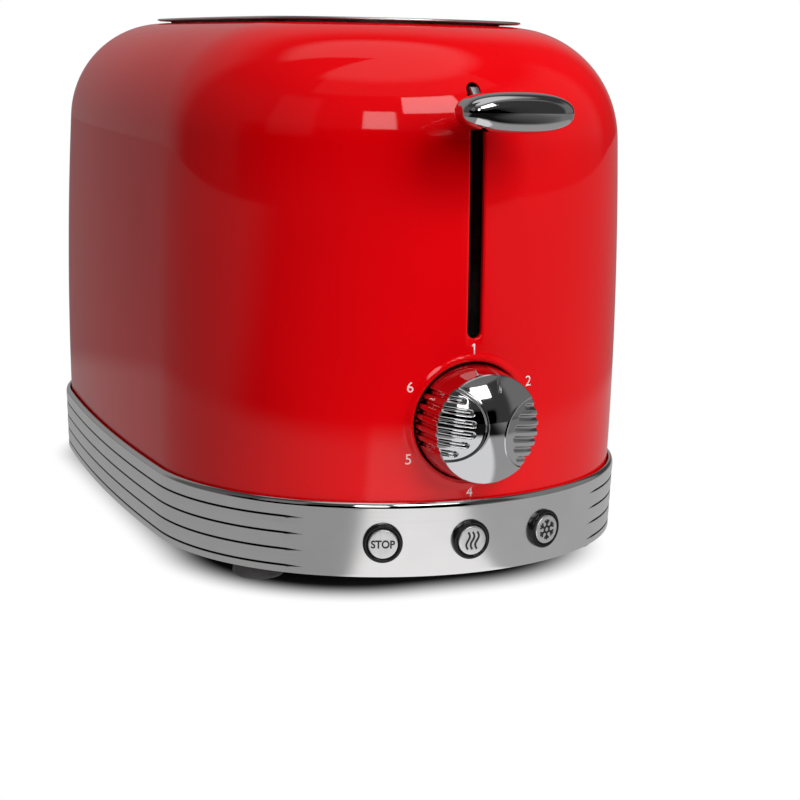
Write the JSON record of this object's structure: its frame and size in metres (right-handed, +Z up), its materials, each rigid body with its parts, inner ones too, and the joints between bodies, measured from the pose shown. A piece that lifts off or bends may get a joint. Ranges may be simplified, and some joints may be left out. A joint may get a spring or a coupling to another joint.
{
  "type": "toaster",
  "caption": "Pop-up toaster with a rounded red shell on a chrome base band, a lever, a browning knob and push buttons.",
  "frame": {"origin": "centre of the footprint, on the surface that the feet stand on", "axes": "+Z up; +Y along the length, from the control end to the rear; +X to the right seen from the control end"},
  "size_m": [0.182, 0.34, 0.1898],
  "materials": {
    "outer_shell": "glossy red enamel",
    "top_plate": "brushed along its length",
    "base_band": "satin chrome",
    "base_plate": "moulded black",
    "foot_front_left": "soft matt",
    "foot_front_right": "soft matt",
    "foot_rear_left": "soft matt",
    "foot_rear_right": "soft matt",
    "chassis_screw_1": "plated sheet or wire",
    "chassis_screw_2": "plated sheet or wire",
    "chassis_screw_3": "plated sheet or wire",
    "chassis_screw_4": "plated sheet or wire",
    "board_screw_1": "plated sheet or wire",
    "board_screw_2": "plated sheet or wire",
    "front_chassis": "plated sheet or wire",
    "rear_chassis": "plated sheet or wire",
    "heat_shield_left": "plated sheet or wire",
    "heat_shield_right": "plated sheet or wire",
    "heating_board_left": "mica sheet",
    "heating_wire_left": "oxidised wire",
    "heating_board_middle": "mica sheet",
    "heating_wire_middle": "oxidised wire",
    "heating_board_right": "mica sheet",
    "heating_wire_right": "oxidised wire",
    "bread_guard_left_outer": "plated sheet or wire",
    "bread_guard_left_inner": "plated sheet or wire",
    "bread_guard_right_inner": "plated sheet or wire",
    "bread_guard_right_outer": "plated sheet or wire",
    "guide_rod": "plated sheet or wire",
    "lift_spring": "plated sheet or wire",
    "electromagnet": "copper winding",
    "control_board": "green laminate",
    "potentiometer": "plated sheet or wire",
    "button_board": "green laminate",
    "cord_grommet": "soft matt",
    "terminal_block": "moulded ivory",
    "carriage_bracket": "plated sheet or wire",
    "bread_rack_left": "plated sheet or wire",
    "bread_rack_right": "plated sheet or wire",
    "latch_keeper": "plated sheet or wire",
    "lever_arm": "plated sheet or wire",
    "lever_knob": "bright chrome",
    "knob_shaft": "plated sheet or wire",
    "browning_knob": "bright chrome",
    "button_ring_stop": "glossy black",
    "button_stop": "silver paint",
    "switch_stop": "moulded black",
    "button_ring_reheat": "glossy black",
    "button_reheat": "silver paint",
    "switch_reheat": "moulded black",
    "button_ring_defrost": "glossy black",
    "button_defrost": "silver paint",
    "switch_defrost": "moulded black",
    "crumb_tray": "plain sheet",
    "tray_grip": "moulded black"
  },
  "bodies": {
    "body": {"outer_shell": "outer_shell", "top_plate": "top_plate", "base_band": "base_band", "base_plate": "base_plate", "foot_front_left": "foot_front_left", "foot_front_right": "foot_front_right", "foot_rear_left": "foot_rear_left", "foot_rear_right": "foot_rear_right", "chassis_screw_1": "chassis_screw_1", "chassis_screw_2": "chassis_screw_2", "chassis_screw_3": "chassis_screw_3", "chassis_screw_4": "chassis_screw_4", "board_screw_1": "board_screw_1", "board_screw_2": "board_screw_2", "front_chassis": "front_chassis", "rear_chassis": "rear_chassis", "heat_shield_left": "heat_shield_left", "heat_shield_right": "heat_shield_right", "heating_board_left": "heating_board_left", "heating_wire_left": "heating_wire_left", "heating_board_middle": "heating_board_middle", "heating_wire_middle": "heating_wire_middle", "heating_board_right": "heating_board_right", "heating_wire_right": "heating_wire_right", "bread_guard_left_outer": "bread_guard_left_outer", "bread_guard_left_inner": "bread_guard_left_inner", "bread_guard_right_inner": "bread_guard_right_inner", "bread_guard_right_outer": "bread_guard_right_outer", "guide_rod": "guide_rod", "lift_spring": "lift_spring", "electromagnet": "electromagnet", "control_board": "control_board", "potentiometer": "potentiometer", "button_board": "button_board", "cord_grommet": "cord_grommet", "terminal_block": "terminal_block", "button_ring_stop": "button_ring_stop", "switch_stop": "switch_stop", "button_ring_reheat": "button_ring_reheat", "switch_reheat": "switch_reheat", "button_ring_defrost": "button_ring_defrost", "switch_defrost": "switch_defrost"},
    "carriage": {"carriage_bracket": "carriage_bracket", "bread_rack_left": "bread_rack_left", "bread_rack_right": "bread_rack_right", "latch_keeper": "latch_keeper", "lever_arm": "lever_arm", "lever_knob": "lever_knob"},
    "browning_control": {"knob_shaft": "knob_shaft", "browning_knob": "browning_knob"},
    "button_stop": {"button_stop": "button_stop"},
    "button_reheat": {"button_reheat": "button_reheat"},
    "button_defrost": {"button_defrost": "button_defrost"},
    "tray": {"crumb_tray": "crumb_tray", "tray_grip": "tray_grip"}
  },
  "joints": [
    {"name": "lever_slide", "type": "slide", "parent": "body", "child": "carriage", "axis": [0, 0, 1], "range_m": [-0.066, 0], "stiffness_N_per_m": 60, "springref_m": 0.05, "deforming": ["lift_spring"]},
    {"name": "browning_turn", "type": "hinge", "parent": "body", "child": "browning_control", "pos_m": [0, -0.13825, 0.0588], "axis": [0, 1, 0], "range_deg": [-8, 292]},
    {"name": "stop_press", "type": "slide", "parent": "body", "child": "button_stop", "axis": [0.312, 0.9501, 0], "range_m": [0, 0.002], "stiffness_N_per_m": 400, "springref_m": -0.002},
    {"name": "reheat_press", "type": "slide", "parent": "body", "child": "button_reheat", "axis": [0, 1, 0], "range_m": [0, 0.002], "stiffness_N_per_m": 400, "springref_m": -0.002},
    {"name": "defrost_press", "type": "slide", "parent": "body", "child": "button_defrost", "axis": [-0.312, 0.9501, 0], "range_m": [0, 0.002], "stiffness_N_per_m": 400, "springref_m": -0.002},
    {"name": "tray_slide", "type": "slide", "parent": "body", "child": "tray", "axis": [0, 1, 0], "range_m": [0, 0.19]}
  ]
}
